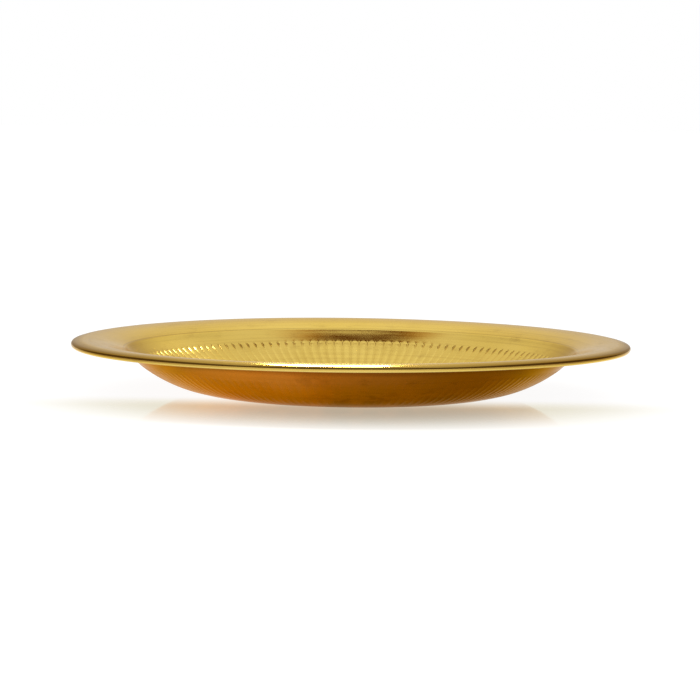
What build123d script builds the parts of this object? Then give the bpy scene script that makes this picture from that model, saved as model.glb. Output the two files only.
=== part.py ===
from build123d import *
from math import atan2, cos, degrees, radians, sin, tan
import os

# A round brass tray (thali). It is one spun sheet with a flat floor, a fluted wall and a broad
# arched rim, and its edge is rolled over a stiffening wire.
# Millimetres, +Z up. The origin is the centre of the flat base, which stands on Z = 0.

# Driving dimensions
tray_diameter = 300.0      # over the rolled edge
tray_height = 29.2         # from the base to the crest of the rim
sheet_thickness = 0.8
corner_radius = 78.0       # underside of the long curve between the base and the wall
wall_angle = 45.0          # slope of the wall above the horizontal
rim_width = 28.0           # from the crease above the wall to the outer edge
rim_rise = 4.4             # from that crease up to the crest
lip_radius = 19.2          # underside of the shoulder between the crest and the rolled edge
lip_angle = 15.0           # how far the shoulder turns down before the roll starts
roll_angle = 275.0         # turned by the edge round the wire
wire_diameter = 1.5
wire_clearance = 0.05      # all round, inside the roll
wire_gap = 0.6             # between the butted ends of the wire
sector_count = 5           # the flutes are pressed in equal sectors
flutes_per_sector = 30
flute_depth = 0.35
groove_radius = 1.2        # of the round bottom of each groove
flute_low_angle = 13.0     # where the grooves start, along the corner curve from the base
flute_top_margin = 5.5     # how far below the top of that curve they stop, in degrees

# The roll, the rim and the wall, from the outer edge inwards
tray_radius = tray_diameter / 2
crest_height = tray_height - sheet_thickness
roll_radius = wire_diameter / 2 + wire_clearance
roll_center_radius = tray_radius - sheet_thickness - roll_radius
roll_center_height = crest_height - lip_radius + (lip_radius - roll_radius) * cos(radians(lip_angle))
crest_radius = roll_center_radius - (lip_radius - roll_radius) * sin(radians(lip_angle))
crease_radius = tray_radius - rim_width
crease_height = crest_height - rim_rise
corner = min(corner_radius, crease_height / (1 - cos(radians(wall_angle))))
wall_rise = crease_height - corner * (1 - cos(radians(wall_angle)))
wall_run = wall_rise / tan(radians(wall_angle))
base_radius = crease_radius - wall_run - corner * sin(radians(wall_angle))

# Where the sheet bends at the crease, its two faces keep the same thickness between them
arch_start_angle = 2 * degrees(atan2(rim_rise, crest_radius - crease_radius))
crease_bisector = radians((wall_angle + arch_start_angle) / 2 + 90)
crease_stretch = 1 / cos(radians((wall_angle - arch_start_angle) / 2))

# The flutes follow the corner curve, whose centre stands over the edge of the base
sector_angle = 360 / sector_count
flute_pitch = sector_angle / flutes_per_sector
flute_arc = wall_angle - flute_top_margin - flute_low_angle
flute_line_radius = corner - sheet_thickness - groove_radius + flute_depth
corner_axis = Axis((base_radius, 0, corner), (0, -1, 0))


def sheet_line(depth):
    """Draws one face of the sheet, at a depth above its underside, and returns its two ends."""
    crease = (
        crease_radius + depth * crease_stretch * cos(crease_bisector),
        crease_height + depth * crease_stretch * sin(crease_bisector),
    )
    crest = (crest_radius, crest_height + depth)
    floor = Line((0, depth), (base_radius, depth))
    foot = JernArc(floor @ 1, (1, 0), corner - depth, wall_angle)
    Line(foot @ 1, crease)
    TangentArc(crest, crease, tangent=(-1, 0))
    lip = JernArc(crest, (1, 0), lip_radius + depth, -lip_angle)
    roll = JernArc(lip @ 1, lip % 1, roll_radius + depth, -roll_angle)
    return floor @ 0, roll @ 1


def flute_bar(radius, inner_limit):
    """A round bar bent along the corner curve, kept only beyond inner_limit from its centre."""
    with BuildSketch(Plane.YZ.offset(base_radius)) as section:
        with Locations((0, corner - flute_line_radius)):
            Circle(radius)
        with Locations((0, corner - inner_limit)):
            Rectangle(4 * radius, 4 * radius, align=(Align.CENTER, Align.MAX), mode=Mode.INTERSECT)
    with BuildPart() as bar:
        add(section.sketch.rotate(corner_axis, flute_low_angle))
        revolve(axis=corner_axis, revolution_arc=flute_arc)
    return bar.part


# One sector runs from half its angle before +X to half its angle after
sector_plane = Plane(
    origin=(0, 0, 0),
    x_dir=Vector(1, 0, 0).rotate(Axis.Z, -sector_angle / 2),
    z_dir=Vector(0, -1, 0).rotate(Axis.Z, -sector_angle / 2),
)

# Each flute is a groove in the upper face and a rib of the same sheet on the underside
groove = flute_bar(groove_radius, flute_line_radius - groove_radius)
rib = flute_bar(groove_radius + sheet_thickness, corner - sheet_thickness / 2)

with BuildPart() as pan_sector:
    with BuildSketch(sector_plane):
        with BuildLine():
            lower_start, lower_end = sheet_line(0)
            upper_start, upper_end = sheet_line(sheet_thickness)
            Line(lower_start, upper_start)
            Line(lower_end, upper_end)
        make_face()
    revolve(axis=Axis.Z, revolution_arc=sector_angle)
    first_flute = (flute_pitch - sector_angle) / 2
    with PolarLocations(0, flutes_per_sector, first_flute, sector_angle):
        add(rib)
    with PolarLocations(0, flutes_per_sector, first_flute, sector_angle):
        add(groove, mode=Mode.SUBTRACT)

with BuildPart() as tray_pan:
    with PolarLocations(0, sector_count):
        add(pan_sector.part)
tray_pan.part.label = "tray_pan"

# The wire lies inside the roll, its two ends nearly meeting
with BuildPart() as rim_wire:
    with BuildSketch(Plane.XZ):
        with Locations((roll_center_radius, roll_center_height)):
            Circle(wire_diameter / 2)
    revolve(axis=Axis.Z, revolution_arc=360 - degrees(wire_gap / roll_center_radius))
rim_wire.part.label = "rim_wire"

os.makedirs("parts", exist_ok=True)
export_step(tray_pan.part, "parts/tray_pan.step")
export_step(rim_wire.part, "parts/rim_wire.step")
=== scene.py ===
import math
from typing import NamedTuple

import bpy
import numpy as np
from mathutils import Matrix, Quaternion, Vector


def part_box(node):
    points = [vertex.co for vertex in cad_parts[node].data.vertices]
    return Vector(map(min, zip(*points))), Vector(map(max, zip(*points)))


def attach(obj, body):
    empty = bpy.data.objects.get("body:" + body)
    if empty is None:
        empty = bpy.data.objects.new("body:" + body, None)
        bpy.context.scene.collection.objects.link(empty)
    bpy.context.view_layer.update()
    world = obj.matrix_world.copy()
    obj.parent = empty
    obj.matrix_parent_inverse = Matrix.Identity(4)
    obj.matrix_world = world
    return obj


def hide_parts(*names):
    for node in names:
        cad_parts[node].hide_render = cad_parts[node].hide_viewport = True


# A round brass tray on a pale studio floor. Metres, +Z up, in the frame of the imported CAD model.

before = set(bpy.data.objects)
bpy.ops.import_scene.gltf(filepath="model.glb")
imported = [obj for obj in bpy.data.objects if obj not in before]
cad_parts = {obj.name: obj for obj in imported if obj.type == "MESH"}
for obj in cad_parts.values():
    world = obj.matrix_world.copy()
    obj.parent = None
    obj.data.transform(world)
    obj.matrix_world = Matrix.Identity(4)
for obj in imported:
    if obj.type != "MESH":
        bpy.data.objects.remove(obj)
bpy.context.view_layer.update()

# ---------------------------------------------------------------- sizes
MM = 0.001
pan_low, pan_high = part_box("tray_pan")
wire_low, wire_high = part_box("rim_wire")
TRAY_RADIUS = pan_high.x
CREST_TOP = pan_high.z
SHEET = 0.8 * MM
WIRE_RADIUS = (wire_high.z - wire_low.z) / 2
WIRE_CLEARANCE = 0.05 * MM
WIRE_GAP = 0.6 * MM
ROLL_RADIUS = WIRE_RADIUS + WIRE_CLEARANCE
WALL_ANGLE = math.radians(46)
CREASE_BEND = 2.2 * MM
RIM_WIDTH = 28.0 * MM
RIM_RISE = 4.4 * MM
LIP_RADIUS = 19.2 * MM
LIP_ANGLE = math.radians(15)
ROLL_ANGLE = math.radians(275)

# The flutes start where the corner curve has the slope FLUTE_TOP_ANGLE. Lengths along the sheet
# are measured down from there.
FLUTES = 150
FLUTE_TOP_ANGLE = math.radians(39.8)
FLUTE_LENGTH = 37.0 * MM
FLUTE_FADE_START = 25.0 * MM
FLUTE_ROW_RADIUS = 0.76 * TRAY_RADIUS
GROOVE_DEPTH = 0.30 * MM
GROOVE_HALF_WIDTH = 0.5 * MM
GROOVE_RUN_IN = 1.2 * MM
GROOVE_WEAR = 0.85
GROOVE_WEAR_START = 2.0 * MM
GROOVE_WEAR_RUN = 5.0 * MM
LOBE_HEIGHT = 0.20 * MM
LOBE_START = 0.2 * MM
LOBE_RUN_IN = 0.8 * MM
ARCH_RISE = 1.7 * MM
RIB_HEIGHT = 0.13 * MM
RIB_HALF_WIDTH = 1.1 * MM
RIB_START = 0.5 * MM
RIB_RUN_IN = 2.5 * MM

# Warp of the sheet by hand work. A ripple has waves round the rim, a height, a phase, and a twist
# of the phase from the centre to the rim.
TILT = 0.16 * MM
SADDLE = 0.31 * MM
SKEW_SADDLE = 0.22 * MM
RIPPLES = ((7, 0.010 * MM, 1.3, 14), (13, 0.005 * MM, -2.0, 23))
WARP_START = 0.42
WARP_RUN = 0.5

# The edge: the side with painted light, which has less tarnish and painted dark reflection and a
# painted highlight under the roll, and the slopes of the roll at which the dark edge gives way to
# that highlight.
PAINTED_LIGHT_SIDE = math.radians(-96)
PAINTED_LIGHT_SHARPNESS = 8
PAINTED_LIGHT_EFFECT = 0.6
DARK_EDGE_END = math.radians(98)
DARK_EDGE_FADE = math.radians(44)

# Mesh. The shares place the vertices of a ring within each flute. The row steps are the spacing
# of the rows down to a distance below the tops of the flutes.
PITCH = 2 * math.pi / FLUTES
FIRST_GROOVE = PITCH / 2
FINE_SHARES = (0, 0.05, 0.12, 0.25, 0.5, 0.75, 0.88, 0.95)
COARSE_SHARES = (0, 0.5)
ROW_STEPS = ((3.6 * MM, 0.45 * MM), (9 * MM, 1.1 * MM), (math.inf, 2.7 * MM))
LAST_ROW = FLUTE_LENGTH + 1.5 * MM
ROW_SLACK = 0.1 * MM
HUB_SHARE = 0.04
FLOOR_ROWS = 9
BASE_ROWS = 3
WALL_ROWS = 5
CREASE_ROWS = 4
ARCH_ROWS = 10
LIP_ROWS = 5
ROLL_ROWS = 22
WIRE_STATIONS = 400
WIRE_SIDES = 12


def smooth_step(x):
    x = np.clip(x, 0.0, 1.0)
    return x * x * (3 - 2 * x)


# ---------------------------------------------------------------- the section of the sheet
def walk(start, heading, moves):
    """Follows lines and arcs from a start. Returns stations (radius, height, heading, part name)."""
    r, z = start
    stations = [(r, z, heading, moves[0][0])]
    for name, kind, size, turn, shares in moves:
        r0, z0, h0 = r, z, heading
        for share in shares:
            if kind == "line":
                r = r0 + size * share * math.cos(h0)
                z = z0 + size * share * math.sin(h0)
            else:
                side = 1 if turn > 0 else -1
                heading = h0 + turn * share
                r = r0 + side * size * (math.sin(heading) - math.sin(h0))
                z = z0 - side * size * (math.cos(heading) - math.cos(h0))
            stations.append((r, z, heading, name))
    return stations


def even(count):
    return [(i + 1) / count for i in range(count)]


def row_step(distance):
    return next(step for limit, step in ROW_STEPS if distance < limit)


def corner_shares(corner_radius):
    """Stations up the corner curve: close together where the flutes end under their arches."""
    length = corner_radius * WALL_ANGLE
    flute_top = FLUTE_TOP_ANGLE / WALL_ANGLE
    down = [0.0]
    while down[-1] < LAST_ROW:
        down.append(down[-1] + row_step(down[-1]))
    fluted = [flute_top - d / length for d in reversed(down)]
    plain = [flute_top + (1 - flute_top) * share for share in even(WALL_ROWS)]
    return [fluted[0] * share for share in even(BASE_ROWS)] + fluted[1:] + plain


def sheet_section():
    """Stations of the underside of the sheet from the centre to the end of the roll, and the
    radius of the corner curve, which follows from the height of the tray."""
    lip_run = (LIP_RADIUS - ROLL_RADIUS) * math.sin(LIP_ANGLE)
    crest_radius = TRAY_RADIUS - SHEET - ROLL_RADIUS - lip_run
    crease_radius = TRAY_RADIUS - RIM_WIDTH
    arch_angle = 2 * math.atan2(RIM_RISE, crest_radius - crease_radius)
    arch_radius = (crest_radius - crease_radius) / math.sin(arch_angle)
    bend_rise = CREASE_BEND * (math.cos(arch_angle) - math.cos(WALL_ANGLE))
    arch_rise = arch_radius * (1 - math.cos(arch_angle))
    corner_rise = CREST_TOP - SHEET - bend_rise - arch_rise
    corner_radius = corner_rise / (1 - math.cos(WALL_ANGLE))
    moves = [
        ("corner", "arc", corner_radius, WALL_ANGLE, corner_shares(corner_radius)),
        ("crease", "arc", CREASE_BEND, arch_angle - WALL_ANGLE, even(CREASE_ROWS)),
        ("arch", "arc", arch_radius, -arch_angle, even(ARCH_ROWS)),
        ("lip", "arc", LIP_RADIUS, -LIP_ANGLE, even(LIP_ROWS)),
        ("roll", "arc", ROLL_RADIUS, -ROLL_ANGLE, even(ROLL_ROWS)),
    ]
    reach = max(station[0] for station in walk((0, 0), 0, moves)) + SHEET
    floor_shares = [HUB_SHARE + (1 - HUB_SHARE) * share for share in even(FLOOR_ROWS)]
    floor = [("floor", "line", TRAY_RADIUS - reach, 0, [HUB_SHARE] + floor_shares)]
    return walk((0, 0), 0, floor + moves), corner_radius


STATIONS, CORNER_RADIUS = sheet_section()


def flute_distance(heading):
    """How far down the corner curve from the tops of the flutes the sheet has a given slope."""
    return CORNER_RADIUS * (FLUTE_TOP_ANGLE - heading)


def is_fluted(name, heading):
    return name == "corner" and -ROW_SLACK <= flute_distance(heading) <= LAST_ROW + ROW_SLACK


# ---------------------------------------------------------------- relief: flutes and hand work
def flute_fade(down):
    """1 along the flutes, falling to 0 where they run out towards the floor of the tray."""
    return 1 - smooth_step((down - FLUTE_FADE_START) / (FLUTE_LENGTH - FLUTE_FADE_START))


def flute_relief(theta, down):
    """Height of the lobes between the grooves (+) and depth of the grooves (-), at an angle and a
    distance below the tops of the flutes. Each lobe ends in a round arch."""
    phase = np.mod((theta - FIRST_GROOVE) / PITCH, 1.0)
    across = np.abs(2 * phase - 1)
    round_lobe = np.sqrt(np.clip(1 - across**2, 0, 1))
    arch_top = LOBE_START + ARCH_RISE * (1 - round_lobe)
    lobe = smooth_step((down - arch_top) / LOBE_RUN_IN) * round_lobe
    from_groove = (1 - across) * PITCH / 2 * FLUTE_ROW_RADIUS
    groove = np.exp(-((from_groove / GROOVE_HALF_WIDTH) ** 2))
    wear = GROOVE_WEAR * smooth_step((down - GROOVE_WEAR_START) / GROOVE_WEAR_RUN)
    cut = smooth_step(down / GROOVE_RUN_IN) * (1 - wear) * groove
    return flute_fade(down) * (LOBE_HEIGHT * lobe - GROOVE_DEPTH * cut)


def rib_relief(theta, down):
    """The same under the sheet, where each groove shows as a broader, softer rib."""
    phase = np.mod((theta - FIRST_GROOVE) / PITCH, 1.0)
    from_rib = (0.5 - np.abs(phase - 0.5)) * PITCH * FLUTE_ROW_RADIUS
    rib = np.exp(-((from_rib / RIB_HALF_WIDTH) ** 2))
    top = smooth_step((down - RIB_START) / RIB_RUN_IN)
    return -RIB_HEIGHT * top * flute_fade(down) * rib


def hand_warp(theta, radius):
    """Lift of the sheet by spinning and hand finishing: slow waves that grow towards the rim."""
    share = np.clip(radius / TRAY_RADIUS, 0, 1)
    saddle = SADDLE * np.cos(2 * theta) + SKEW_SADDLE * np.sin(2 * theta)
    slow = (TILT * np.cos(theta) - saddle) * share**2
    quick = sum(
        height * np.sin(waves * theta + phase + twist * share)
        for waves, height, phase, twist in RIPPLES
    )
    return smooth_step((share - WARP_START) / WARP_RUN) * (slow + quick)


# ---------------------------------------------------------------- wear of the edge
def painted_light_share(theta):
    """1 on the side of the rim with painted light, falling to 0 round the rest of it."""
    return np.clip(0.5 + 0.5 * np.cos(theta - PAINTED_LIGHT_SIDE), 0, 1) ** PAINTED_LIGHT_SHARPNESS


def edge_share(name, heading):
    """Up to 1 on the lip and the roll, where tarnish from hands and cloths and a painted dark
    reflection darken the brass, down to -1 on the painted highlight under the roll, and 0 off the
    edge."""
    if name == "lip":
        return min(1.0, -heading / LIP_ANGLE)
    if name == "roll":
        return 1 - 2 * float(smooth_step((-heading - DARK_EDGE_END) / DARK_EDGE_FADE))
    return 0.0


def edge_tarnish_and_light(name, heading, theta):
    """Tarnish with painted dark reflection (+) and a painted highlight (-) round the edge. The side
    with painted light has less of the one and all of the other."""
    share = edge_share(name, heading)
    if share > 0:
        return share * (1 - PAINTED_LIGHT_EFFECT * painted_light_share(theta))
    return share * painted_light_share(theta)


# ---------------------------------------------------------------- mesh of the pan
def angles_of(shares):
    return np.array([FIRST_GROOVE + (k + s) * PITCH for k in range(FLUTES) for s in shares])


FINE_ANGLES = angles_of(FINE_SHARES)
COARSE_ANGLES = angles_of(COARSE_SHARES)
TOP_SLOT, UNDER_SLOT, EDGE_SLOT = 0, 1, 2


class MeshRows:
    """Collects rings of vertices round the axis and the faces between them."""

    def __init__(self):
        self.points, self.faces, self.slots = [], [], []
        self.groove, self.edge = [], []

    def ring(self, station, depth):
        """A ring of vertices at a depth above the underside. Returns its start and its count."""
        r, z, heading, name = station
        theta = COARSE_ANGLES
        push = np.zeros(len(theta))
        if is_fluted(name, heading):
            theta = FINE_ANGLES
            relief = flute_relief if depth > 0 else rib_relief
            push = relief(theta, flute_distance(heading))
        radius = r - (depth + push) * math.sin(heading)
        height = z + (depth + push) * math.cos(heading) + hand_warp(theta, r)
        start = len(self.points)
        self.points.extend(zip(radius * np.cos(theta), radius * np.sin(theta), height))
        self.groove.extend(np.clip(-push / GROOVE_DEPTH, 0, 1))
        self.edge.extend(edge_tarnish_and_light(name, heading, theta))
        return start, len(theta)

    def add(self, corners, slot, flip):
        self.faces.append(corners[::-1] if flip else corners)
        self.slots.append(slot)

    def bridge(self, inner, outer, slot, flip):
        """Faces between two rings, which have as many vertices or four times as many."""
        (a, n), (b, m) = inner, outer
        if n < m:
            self.fan(inner, outer, slot, flip)
        elif n > m:
            self.fan(outer, inner, slot, not flip)
        else:
            for i in range(n):
                j = (i + 1) % n
                self.add((a + i, b + i, b + j, a + j), slot, flip)

    def fan(self, coarse, fine, slot, flip):
        """Triangles between a ring and one that has four times its vertices."""
        (a, n), (b, m) = coarse, fine
        for i in range(n):
            c0, c1 = a + i, a + (i + 1) % n
            f = [b + (4 * i + k) % m for k in range(5)]
            from_first = [(c0, f[0], f[1]), (c0, f[1], f[2]), (c0, f[2], c1)]
            from_second = [(c1, f[2], f[3]), (c1, f[3], f[4])]
            for corners in from_first + from_second:
                self.add(corners, slot, flip)

    def cap(self, center, ring, slot, flip):
        """Triangles from a ring to a point on the axis."""
        start, n = ring
        tip = len(self.points)
        self.points.append(center)
        self.groove.append(0.0)
        self.edge.append(0.0)
        for i in range(n):
            self.add((tip, start + i, start + (i + 1) % n), slot, flip)


def pan_rows():
    """Both faces of the sheet, closed at the axis and at the end of the roll."""
    rows = MeshRows()
    top = [rows.ring(station, SHEET) for station in STATIONS[1:]]
    under = [rows.ring(station, 0.0) for station in STATIONS[1:]]
    names = [station[3] for station in STATIONS[2:]]
    for i, name in enumerate(names):
        top_slot = EDGE_SLOT if name in ("lip", "roll") else TOP_SLOT
        under_slot = EDGE_SLOT if name == "roll" else UNDER_SLOT
        rows.bridge(top[i], top[i + 1], top_slot, False)
        rows.bridge(under[i], under[i + 1], under_slot, True)
    rows.bridge(top[-1], under[-1], EDGE_SLOT, False)
    rows.cap((0, 0, SHEET), top[0], TOP_SLOT, False)
    rows.cap((0, 0, 0), under[0], UNDER_SLOT, True)
    return rows


def place_object(name, data):
    placed = bpy.data.objects.new(name, data)
    bpy.context.scene.collection.objects.link(placed)
    return placed


def build_pan():
    rows = pan_rows()
    mesh = bpy.data.meshes.new("tray_pan_brass")
    mesh.from_pydata([tuple(map(float, p)) for p in rows.points], [], rows.faces)
    mesh.polygons.foreach_set("material_index", rows.slots)
    mesh.polygons.foreach_set("use_smooth", [True] * len(rows.faces))
    mesh.attributes.new("groove", "FLOAT", "POINT").data.foreach_set("value", rows.groove)
    mesh.attributes.new("edge", "FLOAT", "POINT").data.foreach_set("value", rows.edge)
    mesh.validate()
    mesh.update()
    return place_object("tray_pan_brass", mesh)


# ---------------------------------------------------------------- mesh of the wire
def wire_points():
    center_r = TRAY_RADIUS - SHEET - ROLL_RADIUS
    center_z = (wire_low.z + wire_high.z) / 2
    points = []
    for t in np.linspace(0, 2 * math.pi - WIRE_GAP / center_r, WIRE_STATIONS):
        lifted = center_z + hand_warp(t, center_r)
        for k in range(WIRE_SIDES):
            a = 2 * math.pi * k / WIRE_SIDES
            r = center_r + WIRE_RADIUS * math.cos(a)
            z = lifted + WIRE_RADIUS * math.sin(a)
            points.append((r * math.cos(t), r * math.sin(t), z))
    return points


def wire_faces():
    """Quads round the bar, and one flat face on each of its two ends."""
    faces = []
    for i in range(WIRE_STATIONS - 1):
        a, b = i * WIRE_SIDES, (i + 1) * WIRE_SIDES
        for k in range(WIRE_SIDES):
            j = (k + 1) % WIRE_SIDES
            faces.append((a + k, b + k, b + j, a + j))
    last = (WIRE_STATIONS - 1) * WIRE_SIDES
    faces.append(tuple(range(WIRE_SIDES)))
    faces.append(tuple(last + k for k in reversed(range(WIRE_SIDES))))
    return faces


def build_wire():
    """The wire in the roll: a round bar bent into a ring that follows the rim, with butted ends."""
    faces = wire_faces()
    mesh = bpy.data.meshes.new("rim_wire_brass")
    mesh.from_pydata(wire_points(), [], faces)
    mesh.polygons.foreach_set("use_smooth", [len(face) == 4 for face in faces])
    mesh.update()
    return place_object("rim_wire_brass", mesh)


# ---------------------------------------------------------------- shader nodes
class Place(NamedTuple):
    """Sockets with the position in the object, and its radius and angle round the axis."""
    vector: object
    x: object
    y: object
    z: object
    radius: object
    angle: object


class Nodes:
    """Short calls for making and joining the shader nodes of a material or a world."""

    # Sockets of a mix node that mixes colours.
    COLOR_A, COLOR_B, COLOR_OUT = 6, 7, 2

    def __init__(self, owner):
        owner.use_nodes = True
        self.tree = owner.node_tree
        self.tree.nodes.clear()

    def new(self, kind, inputs=None, **settings):
        node = self.tree.nodes.new(kind)
        for key, value in settings.items():
            setattr(node, key, value)
        for key, value in (inputs or {}).items():
            self.put(node.inputs[key], value)
        return node

    def put(self, socket, value):
        if isinstance(value, bpy.types.NodeSocket):
            self.tree.links.new(value, socket)
        else:
            socket.default_value = value

    def math(self, operation, a, b=0.0):
        return self.new("ShaderNodeMath", {0: a, 1: b}, operation=operation).outputs[0]

    def plus(self, a, b):
        return self.math("ADD", a, b)

    def times(self, a, b):
        return self.math("MULTIPLY", a, b)

    def size_of(self, value):
        return self.math("ABSOLUTE", value)

    def distance(self, value, center):
        return self.size_of(self.math("SUBTRACT", value, center))

    def mix(self, factor, a, b):
        """From the colour a to the colour b by a factor, which is held between 0 and 1."""
        inputs = {0: factor, self.COLOR_A: a, self.COLOR_B: b}
        return self.new("ShaderNodeMix", inputs, data_type="RGBA").outputs[self.COLOR_OUT]

    def fit(self, value, low, high, to_low=0.0, to_high=1.0):
        """A smooth ramp: to_low at the value low and to_high at the value high."""
        ends = {"From Min": low, "From Max": high, "To Min": to_low, "To Max": to_high}
        ramp = self.new("ShaderNodeMapRange", ends, interpolation_type="SMOOTHSTEP")
        self.put(ramp.inputs["Value"], value)
        return ramp.outputs[0]

    def noise(self, vector, scale, detail, rough=0.55):
        inputs = {"Vector": vector, "Scale": scale, "Detail": detail, "Roughness": rough}
        return self.new("ShaderNodeTexNoise", inputs).outputs[0]

    def turned_noise(self, across, angle, rings, streaks, detail, rough):
        """Noise drawn out round the axis, as a tool or a cloth leaves it on turning brass."""
        inputs = {0: self.times(across, rings), 1: self.times(angle, streaks)}
        drawn_out = self.new("ShaderNodeCombineXYZ", inputs).outputs[0]
        return self.noise(drawn_out, 1.0, detail, rough)

    def value_on_mesh(self, name):
        return self.new("ShaderNodeAttribute", attribute_name=name).outputs["Fac"]

    def place(self):
        vector = self.new("ShaderNodeTexCoord").outputs["Object"]
        x, y, z = self.new("ShaderNodeSeparateXYZ", {0: vector}).outputs
        radius = self.math("SQRT", self.plus(self.times(x, x), self.times(y, y)))
        return Place(vector, x, y, z, radius, self.math("ARCTAN2", y, x))


# ---------------------------------------------------------------- brass: values
GOLD = (0.79, 0.57, 0.125, 1)
LIGHT_GOLD = (0.83, 0.61, 0.15, 1)
BROWN = (0.30, 0.15, 0.03, 1)
# The underside tones are darker and more orange than the top: partly patina, partly painted shade
# standing in for the shadowed floor that the underside mirrors.
UNDER_TONE = (0.56, 0.205, 0.02, 1)
UNDER_LIGHT = (0.64, 0.26, 0.03, 1)
UNDER_DARK = (0.15, 0.05, 0.006, 1)
WIRE_TONE = (0.60, 0.38, 0.12, 1)
WIRE_LIGHT = (0.68, 0.45, 0.16, 1)
WIRE_DARK = (0.20, 0.10, 0.03, 1)
PALE_EDGE = (1.0, 0.84, 0.54, 1)
BROWN_EDGE = (0.90, 0.60, 0.28, 1)
# Painted warm light on the left of the underside.
SUNNY_SIDE = (0.78, 0.37, 0.07, 1)
# A painted pale sheen at the left and right ends of the underside.
PAINTED_PALE_SHEEN = (0.32, 0.225, 0.15, 1)
# Tarnish on the lip and the roll, which also serves as a painted dark reflection.
TARNISH_AND_DARK_REFLECTION = (0.22, 0.09, 0.01, 1)
# The painted highlight under the roll, at the front.
PAINTED_HIGHLIGHT_GOLD = (1.0, 0.84, 0.30, 1)

# Noise drawn out by turning: scale across, scale along, detail, roughness. Across is the radius
# plus a share of the height, so that steep parts of the sheet have turning marks too.
HEIGHT_SHARE = 0.7
FINE_LINES = (2600.0, 1.3, 4.0, 0.65)
WIDE_RINGS = (420.0, 0.8, 3.0, 0.6)
CLOTH_SMEARS = (120.0, 9.0, 5.0, 0.6)

# Plain noise: scale, detail.
SOFT_CLOUDS = (22.0, 4.0)
SMALL_PATCHES = (75.0, 3.0)

# Ramps over noise or over places: where they start and end, and the values there.
CLOUD_RAMP = (0.3, 0.7)
SMEAR_STAIN = (0.52, 0.78)
RING_STAIN = (0.45, 0.75, 0.0, 0.22)
CREASE_DARKENING = (0.0, 0.7 * MM, 0.45, 0.0)
PATCH_STAIN = (0.58, 0.8)
GROOVE_DIRT = (0.35, 1.0)
UNEVEN_SIDE = (0.2, 0.8, -30 * MM, 30 * MM)
RIGHT_SHADE = (-60 * MM, 110 * MM, 0.0, 0.8)
SUNNY_TO_RIGHT = (-75 * MM, -10 * MM, 0.64, 0.0)
SUNNY_FROM_LEFT = (-105 * MM, -75 * MM, 0.1, 1.0)
PAINTED_SHEEN_AT_ENDS = (55 * MM, 110 * MM, 0.0, 0.44)
# Painted shade just below the bead.
BEAD_SHADE = (19.5 * MM, 23.5 * MM, 0.0, 0.64)
# Painted shade near the base, in patches that are partly scuffs.
SHADE_AND_SCUFF_FRAY = (0.3, 0.7, -3 * MM, 3 * MM)
SHADE_AND_SCUFF_BY_HEIGHT = (11 * MM, 5 * MM, 0.0, 0.8)
SHADE_AND_SCUFF_PATCHES = (0.35, 0.6, 0.4, 1.0)
SHADE_AND_SCUFF_TO_RIGHT = (-70 * MM, 0.0, 0.15, 0.8)
SMEAR_ROUGHNESS = (0.3, 0.8, -0.02, 0.04)
LINE_ROUGHNESS = (0.3, 0.7, -0.03, 0.04)

# Shares of full strength, and two uniform values of the surface.
SPOT_SHARE = 0.5
GROOVE_DIRT_SHARE = 0.75
TARNISH_AND_REFLECTION_SHARE = 0.9
GROOVE_ROUGHNESS = 0.15
LINE_STRENGTH = 0.35
DENT_STRENGTH = 0.5
COAT_ROUGHNESS = 0.12


class Finish(NamedTuple):
    """What differs between the brass surfaces. Grazing is the tint at grazing angles, and the
    depths are in metres."""
    tone: tuple
    light: tuple
    dark: tuple
    grazing: tuple
    roughness: float
    line_depth: float
    dent_depth: float
    stain: float
    coat: float = 0.0
    # Whether the surface gets the underside's painted light and shade, with scuffs.
    painted_light_and_scuffs: bool = False


POLISHED = Finish(
    tone=GOLD, light=LIGHT_GOLD, dark=BROWN, grazing=PALE_EDGE,
    roughness=0.145, line_depth=0.04 * MM, dent_depth=0.06 * MM, stain=0.25, coat=0.12,
)
# The underside finish: partly patina, partly painted shade in its darker tones.
UNDERSIDE = Finish(
    tone=UNDER_TONE, light=UNDER_LIGHT, dark=UNDER_DARK, grazing=BROWN_EDGE,
    roughness=0.19, line_depth=0.03 * MM, dent_depth=0.25 * MM, stain=0.45, painted_light_and_scuffs=True,
)
HANDLED_EDGE = Finish(
    tone=GOLD, light=LIGHT_GOLD, dark=BROWN, grazing=PALE_EDGE,
    roughness=0.15, line_depth=0.006 * MM, dent_depth=0.02 * MM, stain=0.25,
)
DRAWN_WIRE = Finish(
    tone=WIRE_TONE, light=WIRE_LIGHT, dark=WIRE_DARK, grazing=PALE_EDGE,
    roughness=0.35, line_depth=0.03 * MM, dent_depth=0.1 * MM, stain=0.4,
)


# ---------------------------------------------------------------- brass: shader
class Maps(NamedTuple):
    """Places, and sockets with the noises and mesh values that brass is painted from."""
    at: Place
    lines: object
    rings: object
    smears: object
    clouds: object
    patches: object
    groove: object
    edge: object


def brass_maps(n):
    at = n.place()
    across = n.plus(at.radius, n.times(at.z, HEIGHT_SHARE))
    return Maps(
        at=at,
        lines=n.turned_noise(across, at.angle, *FINE_LINES),
        rings=n.turned_noise(across, at.angle, *WIDE_RINGS),
        smears=n.turned_noise(across, at.angle, *CLOTH_SMEARS),
        clouds=n.noise(at.vector, *SOFT_CLOUDS),
        patches=n.noise(at.vector, *SMALL_PATCHES),
        groove=n.value_on_mesh("groove"),
        edge=n.value_on_mesh("edge"),
    )


def stained(n, maps, finish):
    """Cloudy brass with smears, turning rings, and a darker line along the crease of the rim."""
    color = n.mix(n.fit(maps.clouds, *CLOUD_RAMP), finish.tone, finish.light)
    color = n.mix(n.fit(maps.smears, *SMEAR_STAIN, 0.0, finish.stain), color, finish.dark)
    color = n.mix(n.fit(maps.rings, *RING_STAIN), color, finish.dark)
    # Darker along the crease of the rim.
    from_crease = n.distance(maps.at.radius, TRAY_RADIUS - RIM_WIDTH)
    return n.mix(n.fit(from_crease, *CREASE_DARKENING), color, finish.dark)


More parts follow.
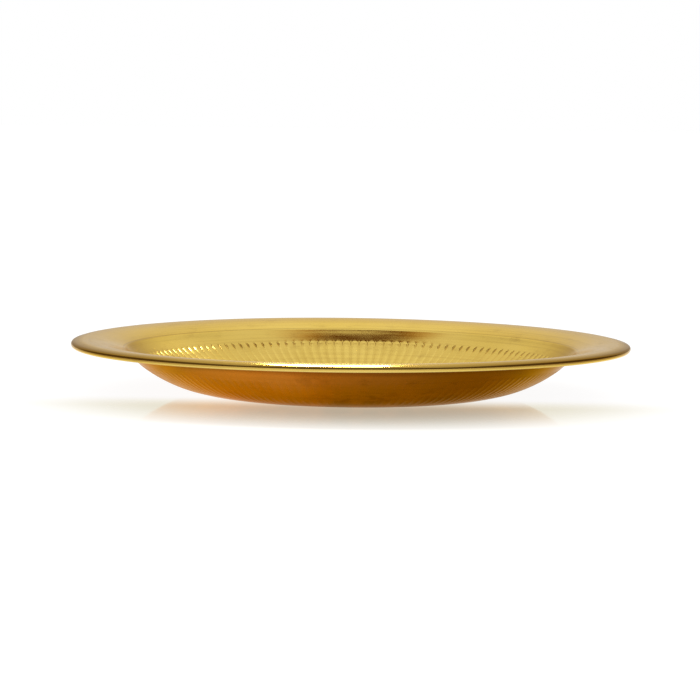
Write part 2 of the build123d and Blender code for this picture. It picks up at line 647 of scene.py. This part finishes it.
def painted_light_and_scuffs(n, maps, color, dark):
    """The underside with painted light and shade: painted shade darker to the right, painted warm
    light to the left, a painted pale sheen at both ends, painted shade below the bead, and painted
    shade near the base in patches that are partly scuffs."""
    side, height = maps.at.x, maps.at.z
    uneven = n.plus(side, n.fit(maps.clouds, *UNEVEN_SIDE))
    # Painted shade, darker to the right.
    color = n.mix(n.fit(uneven, *RIGHT_SHADE), color, dark)
    # Painted light: warmer towards the left.
    sunny = n.times(n.fit(uneven, *SUNNY_TO_RIGHT), n.fit(side, *SUNNY_FROM_LEFT))
    color = n.mix(sunny, color, SUNNY_SIDE)
    # A painted pale sheen at both ends.
    color = n.mix(n.fit(n.size_of(side), *PAINTED_SHEEN_AT_ENDS), color, PAINTED_PALE_SHEEN)
    # Painted shade just below the bead.
    color = n.mix(n.fit(height, *BEAD_SHADE), color, dark)
    # Painted shade near the base, stronger to the right, broken into patches that are partly scuffs.
    frayed = n.plus(height, n.fit(maps.smears, *SHADE_AND_SCUFF_FRAY))
    shade_and_scuff = n.times(n.fit(frayed, *SHADE_AND_SCUFF_BY_HEIGHT), n.fit(maps.patches, *SHADE_AND_SCUFF_PATCHES))
    shade_and_scuff = n.times(shade_and_scuff, n.fit(uneven, *SHADE_AND_SCUFF_TO_RIGHT))
    return n.mix(shade_and_scuff, color, dark)


def handled_and_edge_light(n, maps, color, finish):
    """Spots, dirt in the grooves, tarnish with a painted dark reflection on the edge, and a painted
    highlight under the roll.
    """
    spots = n.fit(maps.patches, *PATCH_STAIN, 0.0, SPOT_SHARE * finish.stain)
    color = n.mix(spots, color, finish.dark)
    dirt = n.times(n.fit(maps.groove, *GROOVE_DIRT), GROOVE_DIRT_SHARE)
    color = n.mix(dirt, color, finish.dark)
    # Tarnish that also paints a dark reflection on the edge.
    color = n.mix(n.times(maps.edge, TARNISH_AND_REFLECTION_SHARE), color, TARNISH_AND_DARK_REFLECTION)
    # A painted highlight under the roll, on the side with painted light.
    return n.mix(n.times(maps.edge, -1.0), color, PAINTED_HIGHLIGHT_GOLD)


def brass_roughness(n, maps, finish):
    rough = n.plus(finish.roughness, n.fit(maps.smears, *SMEAR_ROUGHNESS))
    rough = n.plus(rough, n.fit(maps.lines, *LINE_ROUGHNESS))
    return n.plus(rough, n.times(maps.groove, GROOVE_ROUGHNESS))


def brass_normal(n, maps, finish):
    """Fine turning lines and soft dents."""
    lines = n.new("ShaderNodeBump", {
        "Strength": LINE_STRENGTH,
        "Distance": finish.line_depth,
        "Height": maps.lines,
    })
    dents = n.new("ShaderNodeBump", {
        "Strength": DENT_STRENGTH,
        "Distance": finish.dent_depth,
        "Height": maps.clouds,
        "Normal": lines.outputs[0],
    })
    return dents.outputs[0]


def brass(name, finish):
    """Spun brass: fine turning lines, uneven polish, faint stains, and dirt in the grooves."""
    material = bpy.data.materials.new(name)
    n = Nodes(material)
    maps = brass_maps(n)
    color = stained(n, maps, finish)
    if finish.painted_light_and_scuffs:
        color = painted_light_and_scuffs(n, maps, color, finish.dark)
    shader = n.new("ShaderNodeBsdfPrincipled", {
        "Base Color": handled_and_edge_light(n, maps, color, finish),
        "Metallic": 1.0,
        "Roughness": brass_roughness(n, maps, finish),
        "Normal": brass_normal(n, maps, finish),
        "Specular Tint": finish.grazing,
        "Coat Weight": finish.coat,
        "Coat Roughness": COAT_ROUGHNESS,
    })
    n.new("ShaderNodeOutputMaterial", {"Surface": shader.outputs[0]})
    return material


# ---------------------------------------------------------------- floor
WHITE = (1, 1, 1, 1)
FLOOR_HALF = 6.0
FLOOR_DULL = (0.15, 0.15, 0.15, 1)
FLOOR_GLOSS = (1, 0.97, 0.84, 1)
FLOOR_GLOSS_ROUGHNESS = 0.05
FLOOR_GLOW = 0.93
WARM_GLOW = (1.0, 0.962, 0.78, 1)
WARMTH_BY_MIRROR = 1.7
MIRROR_BY_RADIUS = (90 * MM, 210 * MM, 0.58, 0.0)
MIRROR_IN_FRONT = (-20 * MM, -75 * MM)


def floor_material():
    """A pale sheet that mirrors the tray in front of it and is dull white everywhere else."""
    material = bpy.data.materials.new("studio_floor")
    n = Nodes(material)
    at = n.place()
    mirror = n.times(n.fit(at.radius, *MIRROR_BY_RADIUS), n.fit(at.y, *MIRROR_IN_FRONT))
    # A painted warm reflection: the floor glows warmer where it mirrors the tray.
    warmth = n.mix(n.times(mirror, WARMTH_BY_MIRROR), WHITE, WARM_GLOW)
    dull = n.new("ShaderNodeBsdfDiffuse", {"Color": FLOOR_DULL})
    glow = n.new("ShaderNodeEmission", {"Color": warmth, "Strength": FLOOR_GLOW})
    lit = n.new("ShaderNodeAddShader", {0: dull.outputs[0], 1: glow.outputs[0]})
    gloss_inputs = {"Color": FLOOR_GLOSS, "Roughness": FLOOR_GLOSS_ROUGHNESS}
    gloss = n.new("ShaderNodeBsdfGlossy", gloss_inputs)
    mixed = n.new("ShaderNodeMixShader", {0: mirror, 1: lit.outputs[0], 2: gloss.outputs[0]})
    n.new("ShaderNodeOutputMaterial", {"Surface": mixed.outputs[0]})
    return material


def build_floor():
    corners = [(-1, -1), (1, -1), (1, 1), (-1, 1)]
    points = [(x * FLOOR_HALF, y * FLOOR_HALF, 0) for x, y in corners]
    mesh = bpy.data.meshes.new("studio_floor")
    mesh.from_pydata(points, [], [(0, 1, 2, 3)])
    mesh.materials.append(floor_material())
    floor = place_object("studio_floor", mesh)


# ---------------------------------------------------------------- world
BACK_WALL = (0.98, 0.98, 0.97, 1)
BACK_SIDE = (0.83, 0.80, 0.75, 1)
BACK_LOW = (0.68, 0.66, 0.63, 1)
LOW_SIDE = (0.46, 0.41, 0.37, 1)
DARK_ROOM = (0.16, 0.11, 0.06, 1)
DARK_SIDE = (0.20, 0.14, 0.09, 1)
WARM_PATCH = (0.50, 0.27, 0.06, 1)
DARK_PATCH = (0.12, 0.042, 0.0, 1)
SOFT_DOME = (1.1, 1.1, 1.1, 1)

# Ramps over the sky, by the angle from the back horizon over the top, or by how far a direction
# leans to the side (0 to 1).
LOW_WALL = (math.radians(6), math.radians(44))
FRONT_OF_ROOM = (math.radians(108), math.radians(125))
MIDDLE_OF_WALL = (0.0, 0.22, 1.0, 0.0)
SIDE_OF_ROOM = (0.50, 0.68)
PATCH_SIDE = -0.055
PATCH_HEIGHT = math.radians(88.6)
WARM_WIDTH = (0.18, 0.46, 1.0, 0.0)
WARM_DEPTH = (math.radians(4.8), math.radians(6.6), 1.0, 0.0)
DARK_WIDTH = (0.12, 0.30, 1.0, 0.0)
DARK_DEPTH = (math.radians(4.4), math.radians(5.6), 1.0, 0.0)


def backdrop(n, side, over):
    """A bright back wall, greyer low down and towards the sides, in a dark room."""
    middle = n.fit(n.size_of(side), *MIDDLE_OF_WALL)
    low = n.mix(middle, LOW_SIDE, BACK_LOW)
    high = n.mix(middle, BACK_SIDE, BACK_WALL)
    wall = n.mix(n.fit(over, *LOW_WALL), low, high)
    room = n.mix(n.fit(n.size_of(side), *SIDE_OF_ROOM), wall, DARK_SIDE)
    return n.mix(n.fit(over, *FRONT_OF_ROOM), room, DARK_ROOM)


def overhead_patch(n, side, over, room):
    """A dark patch with a warm edge straight above, which the far wall of the tray mirrors."""
    aside = n.distance(side, PATCH_SIDE)
    along = n.distance(over, PATCH_HEIGHT)
    warm = n.times(n.fit(aside, *WARM_WIDTH), n.fit(along, *WARM_DEPTH))
    dark = n.times(n.fit(aside, *DARK_WIDTH), n.fit(along, *DARK_DEPTH))
    return n.mix(dark, n.mix(warm, room, WARM_PATCH), DARK_PATCH)


def build_world():
    """The room that the brass mirrors, an even dome for soft light, and a white background."""
    world = bpy.data.worlds.new("studio")
    bpy.context.scene.world = world
    n = Nodes(world)
    direction = n.new("ShaderNodeTexCoord").outputs["Generated"]
    side, back, up = n.new("ShaderNodeSeparateXYZ", {0: direction}).outputs
    over = n.math("ARCTAN2", up, back)
    rays = n.new("ShaderNodeLightPath").outputs
    color = overhead_patch(n, side, over, backdrop(n, side, over))
    color = n.mix(rays["Is Diffuse Ray"], color, SOFT_DOME)
    color = n.mix(rays["Is Camera Ray"], color, WHITE)
    background = n.new("ShaderNodeBackground", {"Color": color, "Strength": 1.0})
    n.new("ShaderNodeOutputWorld", {"Surface": background.outputs[0]})


# ---------------------------------------------------------------- lights
NEAR_EDGE = (-0.012, -0.147, 0.029)
EDGE_LAMP = (-0.014, -0.028, 0.144)
EDGE_LAMP_SIZE = (0.075, 0.10)
EDGE_LAMP_WATTS = 0.21
EDGE_LAMP_SPREAD = math.radians(70)
LEFT_FLUTES = (-0.090, 0.055, 0.012)
FLUTE_LAMP = (-0.053, -0.10, 0.42)
FLUTE_LAMP_SIZE = (0.025, 0.025)
FLUTE_LAMP_WATTS = 0.22
FLUTE_LAMP_SPREAD = math.radians(8)


def area_light(name, place, aim, size, watts, spread):
    """A rectangular lamp that is left out of the picture itself."""
    data = bpy.data.lights.new(name, "AREA")
    data.shape = "RECTANGLE"
    data.size, data.size_y = size
    data.energy = watts
    data.spread = spread
    light = place_object(name, data)
    light.location = place
    light.rotation_euler = (Vector(aim) - Vector(place)).to_track_quat("-Z", "Y").to_euler()
    light.visible_camera = False


def build_lights():
    area_light(
        "edge_light", EDGE_LAMP, NEAR_EDGE, EDGE_LAMP_SIZE, EDGE_LAMP_WATTS, EDGE_LAMP_SPREAD
    )
    area_light(
        "flute_light", FLUTE_LAMP, LEFT_FLUTES, FLUTE_LAMP_SIZE, FLUTE_LAMP_WATTS, FLUTE_LAMP_SPREAD
    )


# ---------------------------------------------------------------- camera
CAMERA_DISTANCE = 1.8
CAMERA_ELEVATION = math.radians(5.12)
CAMERA_ROLL = math.radians(0.65)
SENSOR_MM = 36.0
LENS_MM = 172.2
AIM_TO_LEFT = 0.4 * MM
AIM_BELOW_CREST = 5.55 * MM


def build_camera():
    data = bpy.data.cameras.new("camera")
    data.sensor_width = SENSOR_MM
    data.lens = LENS_MM
    camera = place_object("camera", data)
    aim = Vector((-AIM_TO_LEFT, 0, CREST_TOP - AIM_BELOW_CREST))
    look = Vector((0, math.cos(CAMERA_ELEVATION), -math.sin(CAMERA_ELEVATION)))
    camera.location = aim - look * CAMERA_DISTANCE
    turn = look.to_track_quat("-Z", "Y")
    turn.rotate(Quaternion(look, -CAMERA_ROLL))
    camera.rotation_euler = turn.to_euler()
    bpy.context.scene.camera = camera


# ---------------------------------------------------------------- making
build_camera()

pan = build_pan()
pan.data.materials.append(brass("polished_brass", POLISHED))
pan.data.materials.append(brass("underside_brass", UNDERSIDE))
pan.data.materials.append(brass("edge_brass", HANDLED_EDGE))
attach(pan, "root")
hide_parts("tray_pan")

wire = build_wire()
wire.data.materials.append(brass("drawn_wire", DRAWN_WIRE))
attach(wire, "root")
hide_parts("rim_wire")

build_floor()
build_world()
build_lights()
bpy.context.scene.view_settings.view_transform = "Standard"
